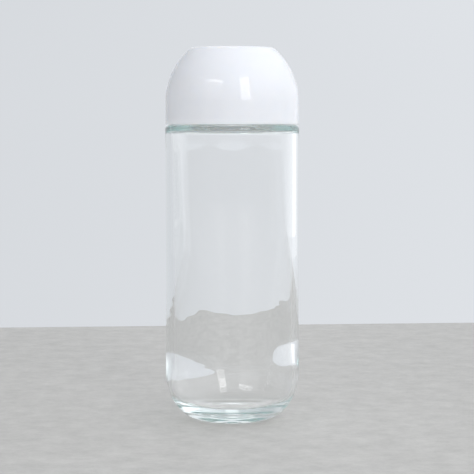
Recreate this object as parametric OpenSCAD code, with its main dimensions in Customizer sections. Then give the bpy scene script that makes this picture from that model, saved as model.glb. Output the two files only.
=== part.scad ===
// Glass water bottle with a screw cap: a round vessel of clear glass, and a white domed
// cap as wide as the bottle, made of an outer dome, a threaded insert and a silicone seal.
// The origin is the middle of the face that the bottle stands on, and +Z is up.

/* [Bottle] */
// Outside diameter of the bottle
bottle_d = 70; // [66:1:76]
// Height of the shoulder, where the rim of the cap sits
shoulder_h = 154.5; // [130:0.5:190]
// Thickness of the glass wall
wall = 3; // [2.5:0.25:3.5]
// Width of the rounded corner at the base
corner_w = 18.5; // [14:0.5:20]
// Height of the rounded corner at the base
corner_h = 25; // [18:0.5:28]
// Height of the floor inside the bottle
floor_h = 6.5; // [6:0.5:9]
// Depth of the hollow under the base
punt_h = 2; // [1:0.1:2.4]

/* [Neck] */
// Diameter of the mouth
mouth_d = 38; // [36:0.5:39]
// Thickness of the glass in the neck
neck_wall = 3.2; // [2.8:0.1:3.2]
// Height of the lip above the shoulder
neck_h = 19; // [18:0.5:20]

/* [Thread] */
// Number of thread starts
starts = 2; // [2:1:3]
// Distance between neighbouring ridges
pitch = 4; // [3.6:0.1:4.2]
// How far a glass ridge stands out of the neck
ridge_rise = 1.5; // [1.2:0.1:1.6]
// Height of a ridge at its root
ridge_w = 2; // [1.6:0.1:2]
// Part of a turn that each glass ridge covers
glass_sweep = 200; // [120:10:220]
// Part of a turn that each cap ridge covers
cap_sweep = 220; // [120:10:240]

/* [Cap] */
// Height of the cap above the shoulder
cap_h = 40; // [38:0.5:44]
// Radius of the cap's domed side
dome_r = 36.7; // [36:0.1:40]
// Radius of the edge round the cap's flat top
top_edge = 4; // [3:0.5:6]
// Thickness of the cap's dome
cap_wall = 2.2; // [1.8:0.1:2.6]
// Number of ribs that lock the dome to the insert
ribs = 8; // [4:1:12]
// Thickness of the silicone seal
seal_t = 2; // [1.6:0.1:2.4]

/* [Hidden] */
$fn = 96;

// Bottle
body_r = bottle_d / 2;
inside_r = body_r - wall;
foot_out = body_r - corner_w;
foot_w = 4;
foot_in = foot_out - foot_w;
punt_r = (foot_in ^ 2 + punt_h ^ 2) / (2 * punt_h);
inside_corner_w = corner_w - 1.5;
inside_corner_h = corner_h - 5;
inside_square = 3;

// Shoulder: a round edge, a gentle slope and a fillet into the neck, outside and inside
shoulder_edge = 2.5;
inside_edge = 2;
slope = 10;
neck_fillet = 2.5;
mouth_fillet = 3.5;
mouth_drop = 1.7;

// Neck
mouth_r = mouth_d / 2;
neck_r = mouth_r + neck_wall;
lip_edge = 1.5;
lip_z = shoulder_h + neck_h;
neck_foot = neck_r + neck_fillet;
shoulder_edge_z = shoulder_h - shoulder_edge;
slope_run = body_r - shoulder_edge + shoulder_edge * cos(90 - slope)
          - (neck_foot - neck_fillet * sin(slope));
neck_fillet_z = shoulder_edge_z + shoulder_edge * sin(90 - slope)
              + slope_run * tan(slope) + neck_fillet * cos(slope);
mouth_fillet_z = neck_fillet_z - mouth_drop;
mouth_foot = mouth_r + mouth_fillet;
inside_run = inside_r - inside_edge + inside_edge * cos(90 - slope)
           - (mouth_foot - mouth_fillet * sin(slope));
inside_edge_z = mouth_fillet_z - mouth_fillet * cos(slope) - inside_run * tan(slope)
              - inside_edge * sin(90 - slope);

// Transfer bead under the thread
bead_out = 1.4;
bead_w = 2.2;
bead_clear = 1.2;
bead_z = neck_fillet_z + bead_clear;

// Thread
lead = starts * pitch;
ridge_sink = 0.6;
ridge_fade = 4;
ridge_step = 8;
ridge_points = 6;
ridge_clear = 4.5;
glass_ridge_z = bead_z + ridge_clear;
cap_ridge_z = glass_ridge_z - pitch / 2;
thread_gap = 0.3;

// Cap insert
rim_gap = 0.2;
bore_r = neck_r + ridge_rise + thread_gap;
insert_wall = 2.2;
insert_r = bore_r + insert_wall;
seal_gap = 0.1;
seal_z = lip_z + seal_gap;
seal_out = bore_r - 0.6;
seal_in = mouth_r - 0.4;
ceiling_z = seal_z + seal_t + seal_gap;
insert_roof = 1.9;
insert_top = ceiling_z + insert_roof;
keeper_gap = 0.75;
keeper_r = neck_r + keeper_gap;
flange_drop = 1.9;
flange_z = neck_fillet_z - flange_drop;
flange_t = 1.5;
flange_r = body_r - rim_gap - cap_wall - seal_gap;
snap = 0.5;
gussets = 8;
gusset_t = 1.4;

// Cap shell
cap_r = body_r - rim_gap;
rim_z = shoulder_h + rim_gap;
side_h = 11.7;
cap_top = shoulder_h + cap_h;
dome_z = shoulder_h + side_h;
dome_c = cap_r - dome_r;
edge_z = cap_top - top_edge;
edge_c = dome_c + sqrt((dome_r - top_edge) ^ 2 - (edge_z - dome_z) ^ 2);
dome_end = atan2(edge_z - dome_z, edge_c - dome_c);
rim_edge = 0.6;
rib_w = 1.6;
rib_in = 1.4;
rib_h = 9;
rib_gap = 0.2;

// A sine or cosine drawn out towards 1, so that an arc made with it has a squarer corner.
function drawn(x, square) = sign(x) * abs(x) ^ (2 / square);

// Points of an arc of an ellipse round the point c, from angle a to angle b. The corner of
// the arc is squarer where square is more than 2.
function arc(c, rx, ry, a, b, n, square = 2) =
    [for (i = [0:n]) let (t = a + (b - a) * i / n)
        c + [rx * drawn(cos(t), square), ry * drawn(sin(t), square)]];

// One ridge of a thread, rounded, running up a cylinder and fading into it at both ends.
// side is 1 for a ridge outside the cylinder and -1 for one inside a bore.
module ridge(cylinder_r, rise, sweep, side) {
    n = ceil(sweep / ridge_step);
    m = ridge_points;
    foot = cylinder_r - side * ridge_sink;
    function full(i) = 0.15 + 0.85 * sin(90 * min(1, i / ridge_fade, (n - i) / ridge_fade));
    function at(i, t) =
        let (a = sweep * i / n, r = foot + side * (rise + ridge_sink) * full(i) * cos(t))
        [r * cos(a), r * sin(a), lead * a / 360 + side * ridge_w / 2 * sin(t)];
    points = [for (i = [0:n], j = [0:m - 1]) at(i, -90 + 180 * j / (m - 1))];
    sides = [for (i = [0:n - 1], j = [0:m - 1])
        let (k = (j + 1) % m) [i * m + j, i * m + k, (i + 1) * m + k, (i + 1) * m + j]];
    ends = [[for (j = [m - 1:-1:0]) j], [for (j = [0:m - 1]) n * m + j]];
    polyhedron(points, concat(sides, ends), convexity = 4);
}

// All the ridges of one thread, with the first ridge starting at the height z.
module thread(cylinder_r, rise, z, sweep, side) {
    for (i = [0:starts - 1])
        rotate([0, 0, i * 360 / starts])
            translate([0, 0, z])
                ridge(cylinder_r, rise, sweep, side);
}

// Places a shape at equal angles round the axis.
module around(count) {
    for (i = [0:count - 1])
        rotate([0, 0, i * 360 / count])
            children();
}

// The outline of the glass from the axis, out and up round the outside, and back down inside.
module glass_outline() {
    polygon(concat(
        arc([0, punt_h - punt_r], punt_r, punt_r, 90, 90 - asin(foot_in / punt_r), 6),
        arc([foot_out, corner_h], corner_w, corner_h, -90, 0, 18),
        arc([body_r - shoulder_edge, shoulder_edge_z], shoulder_edge, shoulder_edge, 0, 90 - slope, 8),
        arc([neck_foot, neck_fillet_z], neck_fillet, neck_fillet, 270 - slope, 180, 6),
        arc([neck_r, bead_z + bead_w / 2], bead_out, bead_w / 2, -90, 90, 10),
        arc([neck_r - lip_edge, lip_z - lip_edge], lip_edge, lip_edge, 0, 90, 5),
        arc([mouth_r + lip_edge, lip_z - lip_edge], lip_edge, lip_edge, 90, 180, 5),
        arc([mouth_foot, mouth_fillet_z], mouth_fillet, mouth_fillet, 180, 270 - slope, 7),
        arc([inside_r - inside_edge, inside_edge_z], inside_edge, inside_edge, 90 - slope, 0, 6),
        arc([inside_r - inside_corner_w, floor_h + inside_corner_h],
            inside_corner_w, inside_corner_h, 0, -90, 18, inside_square),
        [[0, floor_h]]
    ));
}

// The vessel: one piece of glass with a thick base, a square shoulder and a threaded neck.
module glass_body() {
    color([0.82, 0.93, 0.91, 0.5]) {
        rotate_extrude()
            glass_outline();
        thread(neck_r, ridge_rise, glass_ridge_z, glass_sweep, 1);
    }
}

// The seal: a flat silicone washer that lies over the lip, with its edges rounded.
module seal_ring() {
    edge = 0.4;
    color("gainsboro")
        rotate_extrude()
            polygon(concat(
                arc([seal_in + edge, seal_z + edge], edge, edge, 180, 270, 3),
                arc([seal_out - edge, seal_z + edge], edge, edge, 270, 360, 3),
                arc([seal_out - edge, seal_z + seal_t - edge], edge, edge, 0, 90, 3),
                arc([seal_in + edge, seal_z + seal_t - edge], edge, edge, 90, 180, 3)
            ));
}

// The outline of the insert: its closed top, the seat of the seal with the bead that keeps
// the seal in, the threaded skirt, and the flange that snaps into the dome.
module insert_outline() {
    seat_r = seal_out + seal_gap;
    polygon(concat(
        [[0, ceiling_z], [seat_r, ceiling_z], [seat_r, lip_z],
         [keeper_r, lip_z - 0.3], [keeper_r, lip_z - 0.6], [bore_r, lip_z - 1.5],
         [bore_r, flange_z + 0.4], [bore_r + 0.4, flange_z]],
        arc([flange_r, flange_z + flange_t / 2], snap, flange_t / 2, -90, 90, 4),
        [[insert_r, flange_z + flange_t]],
        arc([insert_r - 1, insert_top - 1], 1, 1, 0, 90, 4),
        [[0, insert_top]]
    ));
}

// A gusset between the insert's skirt and its flange.
module gusset() {
    rotate([90, 0, 0])
        translate([0, 0, -gusset_t / 2])
            linear_extrude(gusset_t)
                polygon([[insert_r - 0.5, flange_z + 1], [insert_r + 4, flange_z + 1],
                         [insert_r + 4, flange_z + 2.5], [insert_r - 0.5, flange_z + 9]]);
}

// The threaded inner moulding of the cap.
module cap_insert() {
    notch_w = rib_w + 2 * rib_gap;
    notch_r = cap_r - cap_wall - rib_in - rib_gap;
    color("whitesmoke") {
        difference() {
            rotate_extrude()
                insert_outline();
            around(ribs)
                translate([notch_r, -notch_w / 2, flange_z - 1])
                    cube([body_r, notch_w, flange_t + 2]);
        }
        thread(bore_r, bore_r - neck_r - thread_gap, cap_ridge_z, cap_sweep, -1);
        rotate([0, 0, 180 / ribs])
            around(gussets)
                gusset();
    }
}

// The outline of the dome: straight side, domed shoulder and flat top, and the same shape
// one wall thickness further in, with the groove that the insert's flange snaps into.
module shell_outline() {
    inner_r = cap_r - cap_wall;
    groove_r = inner_r + snap;
    groove_z = flange_z + flange_t / 2;
    polygon(concat(
        [[inner_r + 0.4, rim_z]],
        arc([cap_r - rim_edge, rim_z + rim_edge], rim_edge, rim_edge, -90, 0, 3),
        arc([dome_c, dome_z], dome_r, dome_r, 0, dome_end, 24),
        arc([edge_c, edge_z], top_edge, top_edge, dome_end, 90, 6),
        [[0, cap_top], [0, cap_top - cap_wall]],
        arc([edge_c, edge_z], top_edge - cap_wall, top_edge - cap_wall, 90, dome_end, 4),
        arc([dome_c, dome_z], dome_r - cap_wall, dome_r - cap_wall, dome_end, 0, 16),
        [[inner_r, groove_z + 1.2], [groove_r, groove_z + 0.6],
         [groove_r, groove_z - 0.6], [inner_r, groove_z - 1.2], [inner_r, rim_z + 0.4]]
    ));
}

// The outer dome of the cap, with the ribs inside that turn the insert.
module cap_shell() {
    color("white") {
        rotate_extrude()
            shell_outline();
        around(ribs)
            translate([cap_r - cap_wall - rib_in, -rib_w / 2, flange_z - 0.4])
                cube([rib_in + cap_wall / 2, rib_w, rib_h]);
    }
}

glass_body();
seal_ring();
cap_insert();
cap_shell();
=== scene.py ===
"""Looks of a glass water bottle with a domed white screw cap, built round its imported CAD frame.

Shapes are drawn in millimetres and put into their meshes in metres. Every piece is turned about
the upright axis: a section of radius and height is carried round a row of angles, and what isn't
round about the axis, such as a thread, a rib or a wave in the glass, moves the points of that grid.
"""

import logging
import math
from dataclasses import dataclass, field, replace
from enum import Enum

import bpy
import numpy as np
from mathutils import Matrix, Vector


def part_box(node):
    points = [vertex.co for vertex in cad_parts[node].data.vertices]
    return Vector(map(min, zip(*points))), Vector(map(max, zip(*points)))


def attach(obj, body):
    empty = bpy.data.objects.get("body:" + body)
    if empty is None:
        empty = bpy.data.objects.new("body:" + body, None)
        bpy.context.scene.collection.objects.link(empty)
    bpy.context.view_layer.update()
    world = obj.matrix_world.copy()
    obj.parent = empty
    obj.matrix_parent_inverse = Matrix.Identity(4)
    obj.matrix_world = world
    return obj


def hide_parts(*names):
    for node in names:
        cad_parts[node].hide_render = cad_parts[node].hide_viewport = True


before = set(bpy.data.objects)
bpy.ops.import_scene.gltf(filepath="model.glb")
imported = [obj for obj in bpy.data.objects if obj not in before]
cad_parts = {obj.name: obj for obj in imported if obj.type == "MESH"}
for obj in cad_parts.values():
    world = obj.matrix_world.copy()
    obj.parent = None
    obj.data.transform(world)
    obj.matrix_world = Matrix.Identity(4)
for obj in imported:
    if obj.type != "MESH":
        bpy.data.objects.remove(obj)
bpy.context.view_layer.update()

MM = 0.001
TURN = 2 * math.pi
THREAD_STEP = 0.22
log = logging.getLogger("bottle")


# ---------------------------------------------------------------- sections and grids

def arc(centre: tuple, radii: tuple, start: float, end: float, count: int,
        square: float = 2.0) -> np.ndarray:
    """Points along an arc of an ellipse: the centre plus (a cos t, b sin t).

    A squarer arc has both cos t and sin t raised to the power 2 / square.

    Args:
        centre: radius and height of the ellipse's centre.
        radii: its half-width a and half-height b.
        start: the angle t of the first point, in degrees.
        end: the angle t of the last point, in degrees.
        count: number of steps between them.
        square: 2 for an ellipse, and more for a squarer corner.

    Returns:
        An array of radius and height, one row for each point.
    """
    t = np.radians(np.linspace(start, end, count + 1))
    way = np.column_stack((np.cos(t), np.sin(t))).round(9)
    return np.array(centre) + np.array(radii) * np.sign(way) * np.abs(way) ** (2 / square)


def line(start: tuple, end: tuple, step: float) -> np.ndarray:
    """Evenly spaced points from start to end, no further apart than step.

    Args:
        start: radius and height of the first point.
        end: radius and height of the last point.
        step: the largest distance between neighbours.

    Returns:
        An array of radius and height, one row for each point.
    """
    a, b = np.array(start, float), np.array(end, float)
    count = max(1, math.ceil(np.linalg.norm(b - a) / step))
    return a + (b - a) * np.linspace(0, 1, count + 1)[:, None]


def joined(*stretches: np.ndarray) -> np.ndarray:
    """One section from stretches laid end to end, with repeated points left out.

    Args:
        *stretches: arrays of radius and height, in order.

    Returns:
        An array of radius and height, one row for each point.
    """
    points = np.vstack(stretches)
    step = np.linalg.norm(np.diff(points, axis=0), axis=1)
    return points[np.concatenate(([True], step > 1e-3))]


def ramp(x: np.ndarray) -> np.ndarray:
    """A smooth rise from 0 at x = 0 to 1 at x = 1: 3 x squared minus 2 x cubed, flat outside."""
    x = np.clip(x, 0, 1)
    return x * x * (3 - 2 * x)


def around(angle: np.ndarray, count: int, offset: float = 0.0) -> np.ndarray:
    """Angle from the nearest of several equally spaced directions.

    Args:
        angle: angles round the axis, in radians.
        count: how many directions there are in a turn.
        offset: the angle of the first of them, in radians.

    Returns:
        Angles between minus and plus half a spacing, in radians.
    """
    spacing = TURN / count
    return (angle - offset + spacing / 2) % spacing - spacing / 2


def columns(count: int, edges: tuple = (), repeats: int = 1) -> np.ndarray:
    """Angles of a grid's columns: an even row, with extra ones where ribs or notches have edges.

    An even column that lies almost on an extra one is left out.

    Args:
        count: number of evenly spaced columns.
        edges: angles of the extra columns from a rib's middle, in radians.
        repeats: how many ribs there are in a turn. The first is at the angle 0.

    Returns:
        Rising angles from 0 up to less than a turn.
    """
    even = np.arange(count) * TURN / count
    if not edges:
        return even
    middles = np.arange(repeats) * TURN / repeats
    extra = (middles[:, None] + np.array(edges)[None, :]).ravel() % TURN
    clear = np.abs(around(even[:, None] - extra[None, :], 1)).min(1) > 0.004
    return np.unique(np.concatenate((even[clear], extra)))


class Ends(Enum):
    """How the two ends of a section are closed."""

    POLES = "both ends lie on the axis"
    LOOP = "the section runs back to its own start"


@dataclass
class Turning:
    """A section carried round the axis, as a grid with a row for each point and a column for each angle.

    A point of the grid is (radius cos angle, radius sin angle, height).
    """

    section: np.ndarray
    angles: np.ndarray
    ends: Ends

    def __post_init__(self) -> None:
        """Spreads the section over the columns and the angles over the rows."""
        shape = (len(self.section), len(self.angles))
        self.radius = np.broadcast_to(self.section[:, :1], shape).copy()
        self.height = np.broadcast_to(self.section[:, 1:], shape).copy()
        self.angle = np.broadcast_to(self.angles[None, :], shape)

    def mesh(self, name: str) -> bpy.types.Object:
        """Makes the closed smooth surface, with its faces outwards.

        Args:
            name: name of the new object.

        Returns:
            The object, at the origin, in metres.
        """
        rows, cols = self.radius.shape
        points = np.stack((self.radius * np.cos(self.angle), self.radius * np.sin(self.angle),
                           self.height), axis=-1) * MM
        index = np.arange(rows * cols).reshape(rows, cols)
        if self.ends is Ends.LOOP:
            index = np.vstack((index, index[:1]))
            vertices, caps = points.reshape(-1, 3), []
        else:
            index = index[1:-1] - cols
            low, high = points[0].mean(0), points[-1].mean(0)
            vertices = np.vstack((points[1:-1].reshape(-1, 3), low, high))
            caps = [self._fan(index[0], len(vertices) - 2, False),
                    self._fan(index[-1], len(vertices) - 1, True)]
        here, after = index[:-1], np.roll(index[:-1], -1, axis=1)
        above, above_after = index[1:], np.roll(index[1:], -1, axis=1)
        quads = np.stack((here, after, above_after, above), axis=-1).reshape(-1, 4)
        faces = quads.tolist() + [f for cap in caps for f in cap.tolist()]
        mesh = bpy.data.meshes.new(name)
        mesh.from_pydata(vertices.tolist(), [], faces)
        mesh.polygons.foreach_set("use_smooth", np.ones(len(mesh.polygons), bool))
        mesh.update()
        piece = bpy.data.objects.new(name, mesh)
        bpy.context.scene.collection.objects.link(piece)
        return piece

    @staticmethod
    def _fan(ring: np.ndarray, pole: int, at_end: bool) -> np.ndarray:
        """Triangles from a ring of vertices to the pole that closes it.

        Args:
            ring: indices of the ring's vertices, in the order of the angles.
            pole: index of the vertex on the axis.
            at_end: True for the pole at the section's end, False for the one at its start.

        Returns:
            An array of three indices a triangle.
        """
        a, b = ring, np.roll(ring, -1)
        middle = np.full_like(ring, pole)
        return np.stack((a, b, middle) if at_end else (b, a, middle), axis=-1)


@dataclass(frozen=True)
class Thread:
    """A screw thread of rounded ridges on a cylinder, which fade in and out at their ends.

    A ridge follows the height foot + lead times angle over a turn, and its profile is the square
    of a cosine over its width.
    """

    foot: float
    lead: float
    starts: int
    sweep: float
    width: float
    rise: float
    fade: float = 0.5

    def rises(self, angle: np.ndarray, height: np.ndarray) -> np.ndarray:
        """How far the thread stands off its cylinder at each point.

        Args:
            angle: angles round the axis, in radians.
            height: heights, in millimetres.

        Returns:
            Heights of the ridges over the cylinder, in millimetres.
        """
        total = np.zeros(np.broadcast(angle, height).shape)
        for start in range(self.starts):
            along = (angle - start * TURN / self.starts) % TURN
            across = (height - self.foot - self.lead * along / TURN) / (self.width / 2)
            profile = np.cos(np.clip(across, -1, 1) * math.pi / 2) ** 2
            full = ramp(along / self.fade) * ramp((self.sweep - along) / self.fade)
            total = np.maximum(total, self.rise * profile * full)
        return total


# ---------------------------------------------------------------- finishes

class Nodes:
    """A node tree being made, with short ways to add what the finishes and the room need."""

    def __init__(self, tree: bpy.types.NodeTree, coordinates: str) -> None:
        """Takes up a tree.

        Args:
            tree: the tree that the nodes go into.
            coordinates: which coordinates its patterns read, Object or Generated.
        """
        self.tree = tree
        self.place = self.add("ShaderNodeTexCoord").outputs[coordinates]

    def add(self, kind: str, **settings: object) -> bpy.types.Node:
        """Adds a node.

        Args:
            kind: the node's type.
            **settings: its properties, by name.

        Returns:
            The node.
        """
        node = self.tree.nodes.new(kind)
        for key, value in settings.items():
            setattr(node, key, value)
        return node

    def join(self, source: bpy.types.NodeSocket, target: bpy.types.NodeSocket) -> None:
        """Links one socket to another."""
        self.tree.links.new(source, target)

    def noise(self, scale: float, detail: float = 2.0, roughness: float = 0.5,
              place: bpy.types.NodeSocket | None = None) -> bpy.types.NodeSocket:
        """Cloudy noise on the piece's own coordinates.

        Args:
            scale: lumps in a metre, roughly.
            detail: number of finer layers.
            roughness: strength of the finer layers.
            place: coordinates to read, or None for the piece's own.

        Returns:
            The socket with the noise, about 0 to 1.
        """
        node = self.add("ShaderNodeTexNoise")
        node.inputs["Scale"].default_value = scale
        node.inputs["Detail"].default_value = detail
        node.inputs["Roughness"].default_value = roughness
        self.join(place or self.place, node.inputs["Vector"])
        return node.outputs["Fac"]

    def stretched(self, x: float, y: float, z: float) -> bpy.types.NodeSocket:
        """The piece's coordinates, scaled along each axis."""
        node = self.add("ShaderNodeMapping")
        node.inputs["Scale"].default_value = (x, y, z)
        self.join(self.place, node.inputs["Vector"])
        return node.outputs["Vector"]

    def ranged(self, source: bpy.types.NodeSocket, low: float, high: float,
               at_low: float, at_high: float) -> bpy.types.NodeSocket:
        """Maps low to high onto at_low to at_high, held flat outside.

        Args:
            source: the number to map.
            low: where the range starts.
            high: where it ends.
            at_low: the result at low.
            at_high: the result at high.

        Returns:
            The socket with the result.
        """
        node = self.add("ShaderNodeMapRange")
        self.join(source, node.inputs["Value"])
        for key, value in (("From Min", low), ("From Max", high), ("To Min", at_low), ("To Max", at_high)):
            node.inputs[key].default_value = value
        return node.outputs["Result"]

    def blended(self, factor: bpy.types.NodeSocket, low: tuple, high: tuple) -> bpy.types.NodeSocket:
        """A colour between two, by a factor from 0 to 1."""
        node = self.add("ShaderNodeMix", data_type="RGBA")
        self.join(factor, node.inputs["Factor"])
        node.inputs["A"].default_value = (*low, 1)
        node.inputs["B"].default_value = (*high, 1)
        return node.outputs[2]

    def reckoned(self, operation: str, first: bpy.types.NodeSocket,
                 second: bpy.types.NodeSocket) -> bpy.types.NodeSocket:
        """The result of a sum or another operation on two numbers."""
        node = self.add("ShaderNodeMath", operation=operation)
        self.join(first, node.inputs[0])
        self.join(second, node.inputs[1])
        return node.outputs["Value"]

    def along(self, direction: tuple) -> bpy.types.NodeSocket:
        """How far the coordinates lie along a direction."""
        node = self.add("ShaderNodeVectorMath", operation="DOT_PRODUCT")
        self.join(self.place, node.inputs[0])
        node.inputs[1].default_value = direction
        return node.outputs["Value"]


class Recipe(Nodes):
    """A material being made: a Principled shader and the nodes that feed it."""

    def __init__(self, name: str) -> None:
        """Starts a material.

        Args:
            name: its name.
        """
        self.material = bpy.data.materials.new(name)
        self.material.use_nodes = True
        super().__init__(self.material.node_tree, "Object")
        self.shader = self.tree.nodes["Principled BSDF"]
        self.out = self.tree.nodes["Material Output"]

    def bumped(self, height: bpy.types.NodeSocket, distance: float,
               under: bpy.types.NodeSocket | None = None) -> bpy.types.NodeSocket:
        """A normal bent by a height pattern.

        Args:
            height: the pattern, 0 to 1.
            distance: how far 1 stands over 0, in metres.
            under: a normal that is already bent, or None.

        Returns:
            The socket with the normal.
        """
        node = self.add("ShaderNodeBump")
        node.inputs["Distance"].default_value = distance
        self.join(height, node.inputs["Height"])
        if under is not None:
            self.join(under, node.inputs["Normal"])
        return node.outputs["Normal"]


@dataclass(frozen=True)
class ClearGlass:
    """Clear soda-lime glass: faint fire-polished waves, and a blue-green tint where it is thick."""

    bends: float = 1.51
    tint: tuple = (0.04, 0.76, 0.70)
    tint_depth: float = 1.35
    wave: float = 0.00001

    def material(self) -> bpy.types.Material:
        """Makes the glass.

        Returns:
            The material.
        """
        recipe = Recipe("clear_glass")
        shader = recipe.shader
        shader.inputs["Base Color"].default_value = (1, 1, 1, 1)
        shader.inputs["Transmission Weight"].default_value = 1
        shader.inputs["IOR"].default_value = self.bends
        shader.inputs["Roughness"].default_value = 0
        waves = recipe.noise(28, 1, place=recipe.stretched(1, 1, 0.35))
        recipe.join(recipe.bumped(waves, self.wave), shader.inputs["Normal"])
        tint = recipe.add("ShaderNodeVolumeAbsorption")
        tint.inputs["Color"].default_value = (*self.tint, 1)
        tint.inputs["Density"].default_value = self.tint_depth
        recipe.join(tint.outputs[0], recipe.out.inputs["Volume"])
        return recipe.material


@dataclass(frozen=True)
class MouldedPlastic:
    """White moulded plastic with a fine skin, slight unevenness of tone and handling marks."""

    name: str
    pale: tuple
    deep: tuple
    roughness: tuple
    skin: float
    subsurface: float
    tone_scale: float = 22.0
    rub_scale: float = 60.0
    peel_scale: float = 420.0
    grain_scale: float = 2600.0

    def material(self) -> bpy.types.Material:
        """Makes the plastic.

        Returns:
            The material.
        """
        recipe = Recipe(self.name)
        shader = recipe.shader
        tone = recipe.ranged(recipe.noise(self.tone_scale, 3), 0.35, 0.65, 0, 1)
        recipe.join(recipe.blended(tone, self.deep, self.pale), shader.inputs["Base Color"])
        rubbed = recipe.noise(self.rub_scale, 5, 0.65)
        recipe.join(recipe.ranged(rubbed, 0.3, 0.7, *self.roughness), shader.inputs["Roughness"])
        peel = recipe.bumped(recipe.noise(self.peel_scale, 2), self.skin)
        grain = recipe.bumped(recipe.noise(self.grain_scale, 2), self.skin * 0.35, under=peel)
        recipe.join(grain, shader.inputs["Normal"])
        shader.inputs["IOR"].default_value = 1.5
        shader.inputs["Subsurface Weight"].default_value = self.subsurface
        shader.inputs["Subsurface Radius"].default_value = (1.0, 0.9, 0.8)
        shader.inputs["Subsurface Scale"].default_value = 0.006
        return recipe.material


INNER_PLASTIC = MouldedPlastic(name="inner_plastic", pale=(0.90, 0.90, 0.89), deep=(0.87, 0.87, 0.86),
                               roughness=(0.34, 0.48), skin=0.00002, subsurface=1.0)
WHITE_PLASTIC = MouldedPlastic(name="white_plastic", pale=(0.905, 0.897, 0.926),
                               deep=(0.89, 0.882, 0.911), roughness=(0.04, 0.07), skin=0.000003,
                               subsurface=0.7)


@dataclass(frozen=True)
class Silicone:
    """Milky silicone rubber with a dull, slightly dusty skin."""

    colour: tuple = (0.80, 0.81, 0.79)
    dusty: tuple = (0.86, 0.86, 0.84)

    def material(self) -> bpy.types.Material:
        """Makes the silicone.

        Returns:
            The material.
        """
        recipe = Recipe("silicone")
        shader = recipe.shader
        dust = recipe.ranged(recipe.noise(900, 4), 0.4, 0.7, 0, 1)
        recipe.join(recipe.blended(dust, self.colour, self.dusty), shader.inputs["Base Color"])
        recipe.join(recipe.ranged(dust, 0, 1, 0.42, 0.6), shader.inputs["Roughness"])
        recipe.join(recipe.bumped(recipe.noise(1800, 2), 0.00001), shader.inputs["Normal"])
        shader.inputs["IOR"].default_value = 1.41
        shader.inputs["Subsurface Weight"].default_value = 0.3
        shader.inputs["Subsurface Radius"].default_value = (1.0, 0.95, 0.9)
        shader.inputs["Subsurface Scale"].default_value = 0.002
        return recipe.material


# ---------------------------------------------------------------- pieces

@dataclass
class Piece:
    """What every piece has: the CAD node that it stands for, its body and its material slot."""

    node: str
    body: str
    slot: str

    def built(self) -> bpy.types.Object:
        """Makes the piece's mesh. Each kind of piece has its own."""
        raise NotImplementedError

    def made(self, material: bpy.types.Material) -> None:
        """Builds the piece, gives it its material, and puts it in the CAD node's place.

        Args:
            material: the piece's finish.
        """
        piece = self.built()
        piece.data.materials.append(material)
        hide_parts(self.node)
        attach(piece, self.body)
        log.info("%s: %d vertices, for %s on %s", piece.name, len(piece.data.vertices),
                 self.node, self.body)

    def low(self) -> Vector:
        """Lowest corner of the CAD node, in millimetres."""
        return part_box(self.node)[0] / MM

    def high(self) -> Vector:
        """Highest corner of the CAD node, in millimetres."""
        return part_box(self.node)[1] / MM


@dataclass(frozen=True)
class SettleWave:
    """The wave of thicker glass low on the wall, where the parison settled as it hung.

    Below its crest the wall thins again within a few millimetres, and above it only slowly. The
    wave lies askew, and it is weak across the middle of the front and back. Side is the cosine of
    the angle, and front is minus its sine.
    """

    rise: float = 1.1
    middle: float = 29.1
    up_sideways: float = 3.25
    up_front: float = 6.0
    saddle: float = 1.6
    half_crest: float = 8.0
    weakest: float = 0.40
    left_gain: float = 0.70
    left_reach: float = 1.15
    right_gain: float = 0.45
    right_start: float = 0.60
    right_reach: float = 0.24
    tail: float = 72.0
    left_ease: float = 0.5
    inner_left_gain: float = 0.2
    streak: tuple = (0.003, 0.0015)
    chill: float = 0.004
    chill_top: float = 90.0
    chill_fade: float = 40.0

    def thickness(self, angle: np.ndarray, height: np.ndarray) -> np.ndarray:
        """Thickness of the wave: its strength, times a smooth rise, times a smooth slow fall.

        Args:
            angle: angles round the axis, in radians.
            height: heights, in millimetres.

        Returns:
            Extra thickness, in millimetres.
        """
        side, front = np.cos(angle), -np.sin(angle)
        middle = (self.middle + self.up_sideways * side + self.up_front * front
                  - self.saddle * (front ** 2 - side ** 2))
        strength = (self.weakest + self.left_gain * (1 - ramp((side + 1) / self.left_reach))
                    + self.right_gain * ramp((side - self.right_start) / self.right_reach))
        slower_left = self.left_ease * ramp((-side - 0.6) / 0.3)
        quicker_within = self.inner_left_gain * np.exp(-((side + 0.5) / 0.2) ** 2)
        steepness = 1 - slower_left + quicker_within
        off = height - middle
        rise = ramp((off + self.half_crest) / (2 * self.half_crest))
        fall = 1 - ramp((off - self.half_crest) / (self.tail * strength / steepness))
        return self.rise * strength * rise * fall

    def ripples(self, angle: np.ndarray, height: np.ndarray) -> np.ndarray:
        """Faint upright streaks, and level chill ripples low on the wall, as sums of sines.

        Args:
            angle: angles round the axis, in radians.
            height: heights, in millimetres.

        Returns:
            Extra thickness, in millimetres.
        """
        wide, narrow = self.streak
        streak = wide * np.sin(11 * angle + 1.1 + height / 60) + narrow * np.sin(23 * angle + 0.4)
        chill = self.chill * np.sin(height * 1.15 + 2 * np.sin(3 * angle + 1) + np.sin(8 * angle))
        return streak + chill * ramp((self.chill_top - height) / self.chill_fade)


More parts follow.
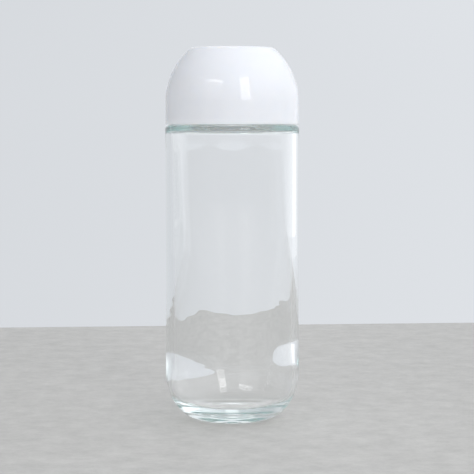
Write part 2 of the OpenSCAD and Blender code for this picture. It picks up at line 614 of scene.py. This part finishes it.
@dataclass
class GlassBody(Piece):
    """The vessel: a thick base with a hollow under it, a straight wall, a shoulder and a threaded neck."""

    node: str = "glass_body"
    body: str = "bottle"
    slot: str = "clear_glass"
    wall: float = 3.0
    corner: tuple = (18.5, 25.0)
    inner_corner: tuple = (17.0, 20.0)
    inner_square: float = 3.0
    floor: float = 6.5
    ring_depth: float = 0.02
    ring_spacing: float = 2.7
    ring_top: float = 9.0
    punt: float = 2.0
    foot: float = 4.0
    shoulder_edge: float = 2.5
    inner_shoulder_edge: float = 2.0
    slope: float = 10.0
    neck_fillet: float = 2.5
    mouth_fillet: float = 3.5
    neck_wall: float = 3.2
    mouth: float = 19.0
    mouth_drop: float = 1.7
    neck: float = 19.0
    bead: tuple = (1.4, 1.1)
    bead_clear: float = 1.2
    ridge_clear: float = 4.5
    ridge_lead: float = 8.0
    ridge_sweep: float = 200.0
    ridge_width: float = 2.5
    ridge_rise: float = 1.5
    lip_edge: float = 1.5
    around: int = 224
    settled: SettleWave = SettleWave()

    def __post_init__(self) -> None:
        """Takes the outer sizes from the CAD node and works out where the curves meet."""
        top = self.high()
        self.radius = top.y
        self.lip = top.z
        self.shoulder = self.lip - self.neck
        self.neck_radius = self.mouth + self.neck_wall
        slope = math.radians(self.slope)
        edge = self.shoulder_edge
        foot = self.neck_radius + self.neck_fillet
        run = self.radius - edge + edge * math.sin(slope) - (foot - self.neck_fillet * math.sin(slope))
        self.fillet_height = (self.shoulder - edge + edge * math.cos(slope) + run * math.tan(slope)
                              + self.neck_fillet * math.cos(slope))
        self.mouth_height = self.fillet_height - self.mouth_drop
        inner, edge = self.radius - self.wall, self.inner_shoulder_edge
        run = inner - edge + edge * math.sin(slope) - (
            self.mouth + self.mouth_fillet * (1 - math.sin(slope)))
        self.inner_edge_height = (self.mouth_height - self.mouth_fillet * math.cos(slope)
                                  - run * math.tan(slope) - edge * math.cos(slope))
        bead_foot = self.fillet_height + self.bead_clear
        self.bead_height = bead_foot + self.bead[1]
        self.thread = Thread(foot=bead_foot + self.ridge_clear, lead=self.ridge_lead, starts=2,
                             sweep=math.radians(self.ridge_sweep), width=self.ridge_width,
                             rise=self.ridge_rise)

    def outside(self) -> np.ndarray:
        """Section of the outside, from the middle of the hollow under the base to the lip.

        The hollow's height falls as half a cosine from the middle to the foot.

        Returns:
            An array of radius and height, one row for each point.
        """
        radius, edge, slope = self.radius, self.shoulder_edge, self.slope
        foot_out = radius - self.corner[0]
        foot_in = foot_out - self.foot
        hollow = np.linspace(0, foot_in, 15)
        hollow = np.column_stack((hollow, self.punt * (0.5 + 0.5 * np.cos(math.pi * hollow / foot_in))))
        shoulder = arc((radius - edge, self.shoulder - edge), (edge, edge), 0, 90 - slope, 16)
        fillet = arc((self.neck_radius + self.neck_fillet, self.fillet_height),
                     (self.neck_fillet, self.neck_fillet), 270 - slope, 180, 10)
        bead = arc((self.neck_radius, self.bead_height), self.bead, -90, 90, 14)
        lip = arc((self.neck_radius - self.lip_edge, self.lip - self.lip_edge),
                  (self.lip_edge, self.lip_edge), 0, 90, 8)
        return joined(hollow, line((foot_in, 0), (foot_out, 0), 1.0),
                      arc((foot_out, self.corner[1]), self.corner, -90, 0, 72),
                      line((radius, self.corner[1]), (radius, self.shoulder - edge), 8),
                      shoulder, line(shoulder[-1], fillet[0], 2), fillet, bead,
                      line((self.neck_radius, self.bead_height + self.bead[1]), lip[0], THREAD_STEP), lip)

    def inside(self) -> np.ndarray:
        """Section of the inside, from the lip down to the middle of the floor.

        Returns:
            An array of radius and height, one row for each point.
        """
        radius, edge, slope = self.radius - self.wall, self.inner_shoulder_edge, self.slope
        lip = arc((self.mouth + self.lip_edge, self.lip - self.lip_edge),
                  (self.lip_edge, self.lip_edge), 90, 180, 8)
        fillet = arc((self.mouth + self.mouth_fillet, self.mouth_height),
                     (self.mouth_fillet, self.mouth_fillet), 180, 270 - slope, 10)
        shoulder = arc((radius - edge, self.inner_edge_height), (edge, edge), 90 - slope, 0, 14)
        corner = arc((radius - self.inner_corner[0], self.floor + self.inner_corner[1]),
                     self.inner_corner, 0, -90, 60, self.inner_square)
        return joined(lip, line(lip[-1], fillet[0], 1.5), fillet,
                      line(fillet[-1], shoulder[0], 1.5), shoulder,
                      line(shoulder[-1], corner[0], 1.1), corner, line(corner[-1], (0, self.floor), 1.5))

    def waves(self, angle: np.ndarray, height: np.ndarray) -> np.ndarray:
        """How much thicker than even the blown wall is, held to nothing at the floor and the shoulder.

        Args:
            angle: angles round the axis, in radians.
            height: heights, in millimetres.

        Returns:
            Extra thickness, in millimetres.
        """
        over_floor = ramp((height - self.floor - 3) / 9)
        under_shoulder = ramp((self.inner_edge_height - height) / 12)
        extra = self.settled.thickness(angle, height) + self.settled.ripples(angle, height)
        return over_floor * under_shoulder * extra

    def base_rings(self, radius: np.ndarray, height: np.ndarray) -> np.ndarray:
        """How far the outside of the base stands in from its ellipse, in level rings.

        The mould's bottom plate and its turned face leave shallow rings round the heel. They fade
        out at the foot and up the wall.

        Args:
            radius: radii of the points, in millimetres.
            height: heights of the points, in millimetres.

        Returns:
            The rise of each point, in millimetres.
        """
        out = radius - (self.radius - self.corner[0])
        held = ramp((out - 0.5) / 2) * ramp((self.ring_top - height) / 5)
        return held * self.ring_depth * (0.5 - 0.5 * np.cos(TURN * out / self.ring_spacing))

    def built(self) -> bpy.types.Object:
        """Makes the vessel: the outside with its thread, and the inside with its waves.

        Returns:
            The vessel's object.
        """
        outside, inside = self.outside(), self.inside()
        grid = Turning(joined(outside, inside), columns(self.around), Ends.POLES)
        outer = np.arange(len(grid.section)) < len(outside)
        neck = outer & (grid.section[:, 1] > self.bead_height + self.bead[1]) & (
            grid.section[:, 1] < self.lip - self.lip_edge)
        grid.radius[neck] += self.thread.rises(grid.angle[neck], grid.height[neck])
        base = outer & (grid.section[:, 1] < self.corner[1]) & (grid.section[:, 0] > self.radius / 2)
        grid.height[base] += self.base_rings(grid.radius[base], grid.height[base])
        walls = ~outer & (grid.section[:, 1] < self.inner_edge_height)
        grid.radius[walls] -= self.waves(grid.angle[walls], grid.height[walls])
        return grid.mesh("bottle_glass")


@dataclass
class SealRing(Piece):
    """The silicone washer, with a fine groove round each face."""

    node: str = "seal_ring"
    body: str = "seal"
    slot: str = "silicone"
    width: float = 4.9
    edge: float = 0.4
    groove: float = 0.2

    def built(self) -> bpy.types.Object:
        """Makes the washer as a closed loop of section: two grooved faces and four round edges.

        Returns:
            The washer's object.
        """
        low, high = self.low(), self.high()
        inner, outer, edge = high.y - self.width, high.y, self.edge
        reach = np.linspace(inner + edge, outer - edge, 25)
        dip = self.groove * np.exp(-((reach - (inner + outer) / 2) / 0.5) ** 2)
        under = np.column_stack((reach, low.z + dip))
        over = np.column_stack((reach, high.z - dip))[::-1]
        section = joined(
            under, arc((outer - edge, low.z + edge), (edge, edge), -90, 0, 5),
            arc((outer - edge, high.z - edge), (edge, edge), 0, 90, 5), over,
            arc((inner + edge, high.z - edge), (edge, edge), 90, 180, 5),
            arc((inner + edge, low.z + edge), (edge, edge), 180, 270, 5))[:-1]
        return Turning(section, columns(160), Ends.LOOP).mesh("lid_seal")


@dataclass
class CapInsert(Piece):
    """The threaded inner moulding: closed top, seal seat, skirt, gussets and a notched flange."""

    node: str = "cap_insert"
    body: str = "cap"
    slot: str = "inner_plastic"
    bore: float = 24.0
    wall: float = 2.2
    flange: float = 1.5
    snap: float = 0.5
    ribs: int = 8
    notch: float = 2.0
    notch_depth: float = 2.0
    notch_root: float = 29.0
    gusset: float = 1.4
    gusset_reach: float = 4.0
    gusset_rise: float = 9.0
    roof: float = 1.9
    thread_gap: float = 0.35
    glass: GlassBody = field(default_factory=GlassBody)

    def flange_span(self) -> tuple:
        """Lowest and highest height of the flange, in millimetres."""
        return self.low().z, self.low().z + self.flange

    def section(self) -> np.ndarray:
        """Section from the middle of the top's underside, round the flange, to the middle of the top.

        Returns:
            An array of radius and height, one row for each point.
        """
        low, high = self.low(), self.high()
        edge = high.y - self.snap
        skirt = self.bore + self.wall
        ceiling, lip = high.z - self.roof, self.glass.lip
        seat, keeper = self.bore - 0.5, self.glass.neck_radius + 0.75
        middle = low.z + self.flange / 2
        return joined(
            line((0, ceiling), (seat - 0.3, ceiling), 2),
            arc((seat - 0.3, ceiling - 0.3), (0.3, 0.3), 90, 0, 4),
            arc((seat, lip - 0.45), (seat - keeper, 0.45), 90, 180, 5),
            arc((seat, lip - 0.45), (seat - keeper, 0.45), 180, 235, 4),
            line((self.bore, lip - 1.5), (self.bore, low.z + 0.6), THREAD_STEP),
            arc((self.bore + 0.5, low.z + 0.5), (0.5, 0.5), 180, 270, 5),
            line((self.bore + 0.6, low.z), (edge - 0.1, low.z), 1.1),
            arc((edge, middle), (self.snap, self.flange / 2), -80, 80, 8),
            line((edge - 0.1, low.z + self.flange), (skirt + 0.8, low.z + self.flange), 0.5),
            arc((skirt + 0.8, low.z + self.flange + 0.8), (0.8, 0.8), 270, 180, 5),
            line((skirt, low.z + self.flange + 1), (skirt, high.z - 1), 0.7),
            arc((skirt - 1, high.z - 1), (1, 1), 0, 90, 6),
            line((skirt - 1.1, high.z), (0, high.z), 2))

    def cut_notches(self, grid: Turning, half: float) -> None:
        """Draws the flange's edge in where each rib of the dome passes.

        Args:
            grid: the moulding's grid.
            half: half the angle that a notch covers, in radians.
        """
        root, edge = self.notch_root, self.high().y
        kept = (edge - self.notch_depth - root) / (edge - root)
        cut = 1 - ramp((np.abs(around(grid.angle, self.ribs)) - half) / 0.006)
        past = np.clip(grid.radius - root, 0, None)
        flange = (grid.section[:, 1] < self.low().z + self.flange + 1e-6)[:, None]
        grid.radius -= np.where(flange, cut * past * (1 - kept), 0)

    def add_gussets(self, grid: Turning, half: float) -> None:
        """Blends the corner of skirt and flange into the straight line across it, at each gusset.

        Args:
            grid: the moulding's grid.
            half: half the angle that a gusset covers, in radians.
        """
        rows, heights = grid.section[:, 0], grid.section[:, 1]
        skirt = self.bore + self.wall
        outer = np.arange(len(rows)) > np.argmax(rows)
        reach = outer & (rows < skirt + self.gusset_reach) & (rows > skirt - 0.01)
        picked = np.flatnonzero(reach & (heights < self.low().z + self.gusset_rise))
        path = grid.section[picked]
        run = np.concatenate(([0], np.cumsum(np.linalg.norm(np.diff(path, axis=0), axis=1))))
        straight = path[0] + (path[-1] - path[0]) * (run / run[-1])[:, None]
        away = np.abs(around(grid.angle[picked], self.ribs, TURN / self.ribs / 2))
        full = 1 - ramp((away - half) / 0.007)
        grid.radius[picked] += full * (straight[:, :1] - path[:, :1])
        grid.height[picked] += full * (straight[:, 1:] - path[:, 1:])

    def built(self) -> bpy.types.Object:
        """Makes the moulding, with its thread, notches and gussets.

        Returns:
            The moulding's object.
        """
        notch = self.notch / 2 / self.high().y
        web = self.gusset / 2 / (self.bore + self.wall + 2)
        between = TURN / self.ribs / 2
        edges = tuple(side * edge for side in (-1, 1) for edge in (notch, notch + 0.006))
        webs = tuple(between + side * edge for side in (-1, 1) for edge in (web, web + 0.007))
        grid = Turning(self.section(), columns(192, edges + webs, self.ribs), Ends.POLES)

        glass = self.glass
        thread = replace(glass.thread, foot=glass.thread.foot - 2, sweep=math.radians(220),
                         rise=self.bore - glass.neck_radius - self.thread_gap)
        bore = (np.abs(grid.section[:, 0] - self.bore) < 1e-6) & (grid.section[:, 1] < glass.lip - 1)
        grid.radius[bore] -= thread.rises(grid.angle[bore], grid.height[bore])
        self.cut_notches(grid, notch)
        self.add_gussets(grid, web)
        return grid.mesh("cap_inner")


@dataclass
class CapShell(Piece):
    """The outer dome: straight side, domed shoulder and flat top, with ribs and a groove inside."""

    node: str = "cap_shell"
    body: str = "cap"
    slot: str = "white_plastic"
    wall: float = 2.2
    side: float = 11.7
    dome: float = 36.7
    top_edge: float = 4.0
    rim_edge: float = 0.6
    ribs: int = 8
    rib_width: float = 1.6
    rib_in: float = 1.4
    rib_height: float = 9.0
    groove: float = 0.5
    insert: CapInsert = field(default_factory=CapInsert)

    def section(self) -> np.ndarray:
        """Section from the middle of the ceiling, down the inside, round the rim and up to the top.

        The side is measured from the glass shoulder, and the groove holds the insert's flange.

        Returns:
            An array of radius and height, one row for each point.
        """
        radius, top, rim = self.high().y, self.high().z, self.low().z
        dome_height = self.insert.glass.shoulder + self.side
        centre = radius - self.dome
        edge_height = top - self.top_edge
        reach = self.dome - self.top_edge
        edge_centre = centre + math.sqrt(reach ** 2 - (edge_height - dome_height) ** 2)
        end = math.degrees(math.atan2(edge_height - dome_height, edge_centre - centre))
        inner, inner_edge, inner_dome = radius - self.wall, self.top_edge - self.wall, self.dome - self.wall
        middle = sum(self.insert.flange_span()) / 2
        return joined(
            line((0, top - self.wall), (edge_centre, top - self.wall), 2.5),
            arc((edge_centre, edge_height), (inner_edge, inner_edge), 90, end, 8),
            arc((centre, dome_height), (inner_dome, inner_dome), end, 0, 30),
            line((inner, dome_height), (inner, middle + 1.2), 0.6),
            line((inner, middle + 1.2), (inner + self.groove, middle + 0.6), 0.3),
            line((inner + self.groove, middle + 0.6), (inner + self.groove, middle - 0.6), 0.3),
            line((inner + self.groove, middle - 0.6), (inner, middle - 1.2), 0.3),
            line((inner, middle - 1.2), (inner, rim + 0.4), 0.3),
            arc((inner + 0.4, rim + 0.4), (0.4, 0.4), 180, 270, 5),
            arc((radius - self.rim_edge, rim + self.rim_edge), (self.rim_edge, self.rim_edge), -90, 0, 8),
            line((radius, rim + self.rim_edge), (radius, dome_height), 1.5),
            arc((centre, dome_height), (self.dome, self.dome), 0, end, 64),
            arc((edge_centre, edge_height), (self.top_edge, self.top_edge), end, 90, 20),
            line((edge_centre, top), (0, top), 2.5))

    def built(self) -> bpy.types.Object:
        """Makes the dome, with the ribs standing in from its wall.

        Returns:
            The dome's object.
        """
        half = self.rib_width / 2 / (self.high().y - self.wall)
        edges = tuple(side * edge for side in (-1, 1) for edge in (half - 0.006, half))
        grid = Turning(self.section(), columns(192, edges, self.ribs), Ends.POLES)
        inner = np.arange(len(grid.section)) < np.argmin(grid.section[:, 1])
        foot = self.insert.flange_span()[0] - 0.4
        on = 1 - ramp((np.abs(around(grid.angle, self.ribs)) - half + 0.006) / 0.006)
        tall = ramp((grid.height - foot) / 0.4) * ramp((foot + self.rib_height - grid.height) / 0.8)
        inside_face = self.high().y - self.wall - self.rib_in
        stand = np.clip(grid.radius - inside_face, 0, None)
        grid.radius -= np.where(inner[:, None], on * tall * stand, 0)
        return grid.mesh("cap_dome")


# ---------------------------------------------------------------- stage, light and camera

@dataclass(frozen=True)
class Lamp:
    """A soft rectangular lamp that faces a point, placed by its bearing from that point."""

    name: str
    bearing: float
    elevation: float
    distance: float
    width: float
    height: float
    radiance: float
    colour: tuple = (1.0, 1.0, 1.0)

    def lit(self, target: Vector) -> bpy.types.Object:
        """Makes the lamp.

        Args:
            target: the point that it faces.

        Returns:
            The lamp's object.
        """
        light = bpy.data.lights.new(self.name, "AREA")
        light.shape = "RECTANGLE"
        light.size, light.size_y = self.width, self.height
        light.energy = self.radiance * math.pi * self.width * self.height
        light.color = self.colour
        lamp = bpy.data.objects.new(self.name, light)
        a, e = math.radians(self.bearing), math.radians(self.elevation)
        way = Vector((math.sin(a) * math.cos(e), -math.cos(a) * math.cos(e), math.sin(e)))
        lamp.location = target + way * self.distance
        lamp.rotation_mode = "QUATERNION"
        lamp.rotation_quaternion = way.to_track_quat("Z", "Y")
        bpy.context.scene.collection.objects.link(lamp)
        return lamp


@dataclass(frozen=True)
class Studio:
    """A pale table that ends a little behind the bottle, in a pale even room, with soft lamps."""

    air: tuple = (0.869, 0.900, 0.9415)
    brighter: tuple = (0.185, -0.188, 0.03)
    higher_up: float = 0.52
    below: float = 0.34
    table: tuple = (0.580, 0.564, 0.535)
    mottle: float = 60.0
    mottle_depth: float = 0.75
    air_gap: float = 0.0001
    far_edge: float = 0.398
    edge_skew: float = 0.085
    near_edge: float = -9.0
    half_width: float = 9.0
    lamps: tuple = (
        Lamp("front_window", 23.5, 23, 2.2, 0.62, 1.4, 3.2, (1.0, 0.98, 0.98)),
        Lamp("top_strip", -32, 35, 2.0, 0.9, 0.14, 3.0, (0.97, 0.98, 1.0)),
        Lamp("left_card", -105, 6, 0.95, 0.9, 0.34, 0.16),
        Lamp("right_card", 128, 6, 0.95, 0.7, 0.34, 0.34),
        Lamp("back_panel", 180, 17, 3.0, 0.6, 1.5, 0.5),
        Lamp("left_fill", -38, 23, 1.4, 0.9, 0.8, 0.42, (1.0, 0.985, 1.0)),
    )

    def room(self) -> None:
        """Sets the room's light, which grows evenly from one side of the room to the other.

        Its strength is 1 plus the direction's dot product with the brighter way. Overhead it leans
        further to the brighter side, and below the table's level it is dimmer towards the camera.
        """
        world = bpy.data.worlds.new("room")
        bpy.context.scene.world = world
        world.use_nodes = True
        nodes = Nodes(world.node_tree, "Generated")
        background = world.node_tree.nodes["Background"]
        background.inputs["Color"].default_value = (*self.air, 1)
        even = nodes.ranged(nodes.along(self.brighter), -1, 1, 0, 2)
        above = nodes.ranged(nodes.along((0, 0, 1)), 0.02, 0.5, 0, self.higher_up)
        sideways = nodes.reckoned("MULTIPLY", above, nodes.along((1, 0, 0)))
        ahead = nodes.ranged(nodes.along((0, -1, 0)), -0.3, 0.2, 0, -self.below)
        under = nodes.ranged(nodes.along((0, 0, -1)), -0.01, 0.06, 0, 1)
        lit = nodes.reckoned("ADD", even, sideways)
        nodes.join(nodes.reckoned("ADD", lit, nodes.reckoned("MULTIPLY", ahead, under)),
                   background.inputs["Strength"])

    def table_top(self) -> bpy.types.Object:
        """Makes the table top: one flat face with a far edge that runs slightly askew.

        It lies a thin gap under the bottle, because a foot rests on high spots alone.

        Returns:
            The table top's object.
        """
        near, far, side = self.near_edge, self.far_edge, self.half_width
        lean = self.edge_skew * side
        mesh = bpy.data.meshes.new("table_top")
        low = -self.air_gap
        mesh.from_pydata([(-side, near, low), (side, near, low), (side, far + lean, low),
                          (-side, far - lean, low)], [], [(0, 1, 2, 3)])
        top = bpy.data.objects.new("table_top", mesh)
        bpy.context.scene.collection.objects.link(top)
        recipe = Recipe("pale_table")
        cloud = recipe.ranged(recipe.noise(self.mottle, 9, 0.82), 0.3, 0.7, 0, 1)
        darker = tuple(c * self.mottle_depth for c in self.table)
        recipe.join(recipe.blended(cloud, darker, self.table), recipe.shader.inputs["Base Color"])
        recipe.join(recipe.ranged(cloud, 0, 1, 0.62, 0.5), recipe.shader.inputs["Roughness"])
        recipe.shader.inputs["Specular IOR Level"].default_value = 0.3
        mesh.materials.append(recipe.material)
        return top

    def made(self, target: Vector) -> None:
        """Builds the room, the table and the lamps.

        Args:
            target: the point that the lamps face.
        """
        self.room()
        self.table_top()
        for lamp in self.lamps:
            lamp.lit(target)
        scene = bpy.context.scene
        scene.view_settings.view_transform = "Standard"
        scene.cycles.max_bounces = 120
        scene.cycles.transmission_bounces = scene.cycles.glossy_bounces = 100
        scene.cycles.diffuse_bounces = 12
        scene.cycles.blur_glossy = 0


@dataclass(frozen=True)
class Camera:
    """The camera: at the height of the cap's rim, looking slightly down."""

    distance: float = 0.85
    aside: float = 0.0025
    pitch: float = 3.953
    lens: float = 123.3
    sensor: float = 36.0

    def placed(self, eye_height: float) -> bpy.types.Object:
        """Makes the scene's camera.

        Args:
            eye_height: its height over the table, in metres.

        Returns:
            The camera's object.
        """
        data = bpy.data.cameras.new("camera")
        data.lens, data.sensor_width = self.lens, self.sensor
        camera = bpy.data.objects.new("camera", data)
        camera.location = (self.aside, -self.distance, eye_height)
        camera.rotation_euler = (math.radians(90 - self.pitch), 0, 0)
        bpy.context.scene.collection.objects.link(camera)
        bpy.context.scene.camera = camera
        return camera


def main() -> None:
    """Builds the bottle piece by piece, then its stage, lamps and camera."""
    logging.basicConfig(level=logging.INFO, format="%(name)s: %(message)s")
    glass = GlassBody()
    insert = CapInsert(glass=glass)
    Camera().placed(glass.shoulder * MM)
    glass.made(ClearGlass().material())
    SealRing().made(Silicone().material())
    insert.made(INNER_PLASTIC.material())
    CapShell(insert=insert).made(WHITE_PLASTIC.material())
    Studio().made(Vector((0, 0, glass.shoulder * MM / 2)))


if __name__ == "__main__":
    main()
